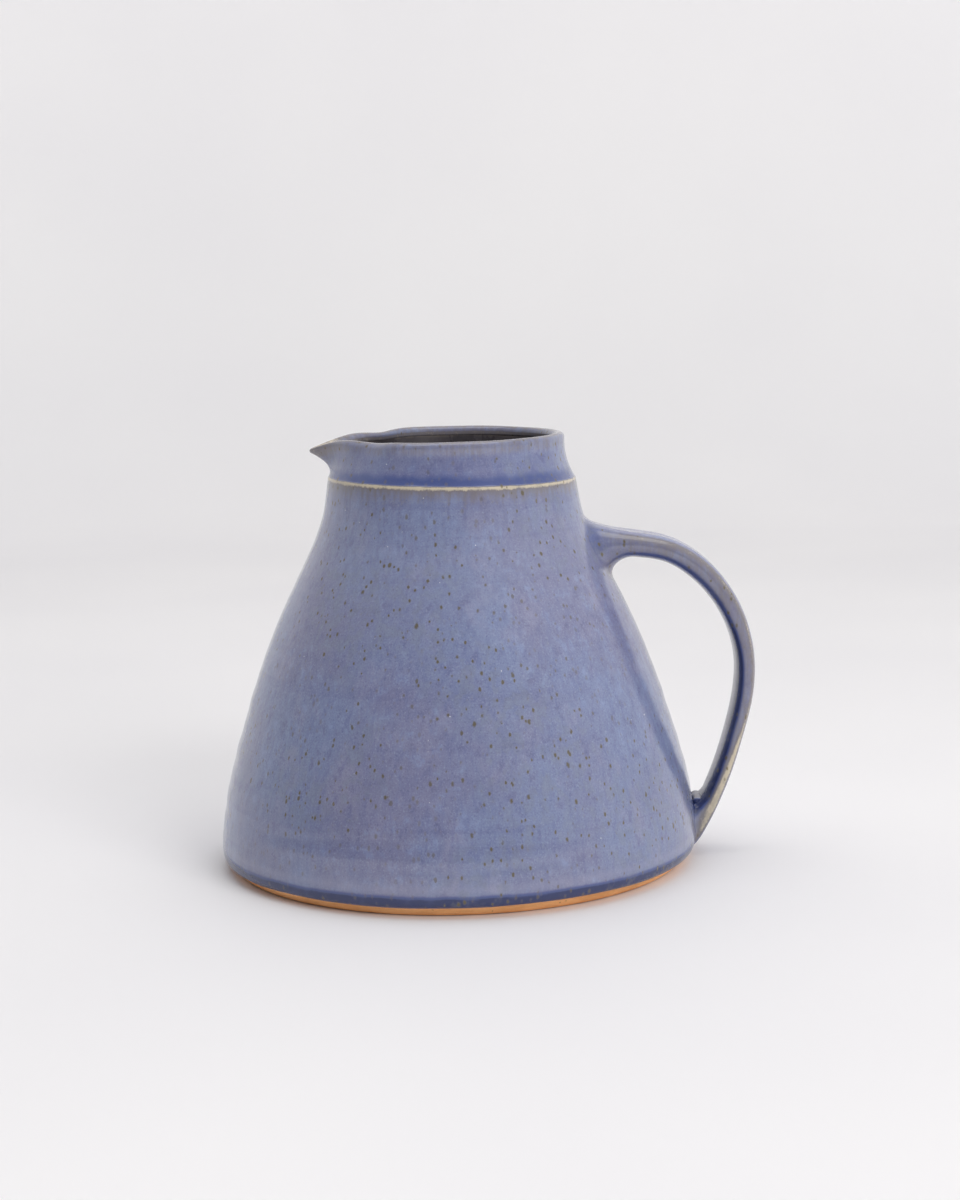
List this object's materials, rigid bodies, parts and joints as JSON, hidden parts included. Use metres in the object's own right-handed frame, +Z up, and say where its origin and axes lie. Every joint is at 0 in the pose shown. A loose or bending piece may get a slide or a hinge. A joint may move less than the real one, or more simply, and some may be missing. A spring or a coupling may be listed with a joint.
{
  "type": "ceramic pitcher",
  "caption": "Wheel-thrown stoneware pitcher with a wide conical body, a ridge below the collar, a pulled lip and a pulled strap handle, under a speckled blue-grey glaze.",
  "frame": {"origin": "centre of the foot on the plane the pitcher rests on", "axes": "+Z up along the axis of the pot, +X towards the handle, -X towards the pouring lip"},
  "size_m": [0.1857, 0.165, 0.1478],
  "materials": {
    "bare_stoneware": "unglazed, fine-grained, fired to a warm tan",
    "joining_slip": "fired slip under the glaze",
    "blue_grey_glaze": "satin blue-grey with iron speckles, breaking to tan on edges",
    "brown_grey_glaze": "satin brown-grey inside coat"
  },
  "bodies": {
    "root": {"pot": "bare_stoneware", "handle": "bare_stoneware", "upper_joint_slip": "joining_slip", "lower_joint_slip": "joining_slip", "joint_coil": "joining_slip", "outer_glaze": "blue_grey_glaze", "liner_glaze": "brown_grey_glaze", "handle_glaze": "blue_grey_glaze"}
  },
  "joints": []
}
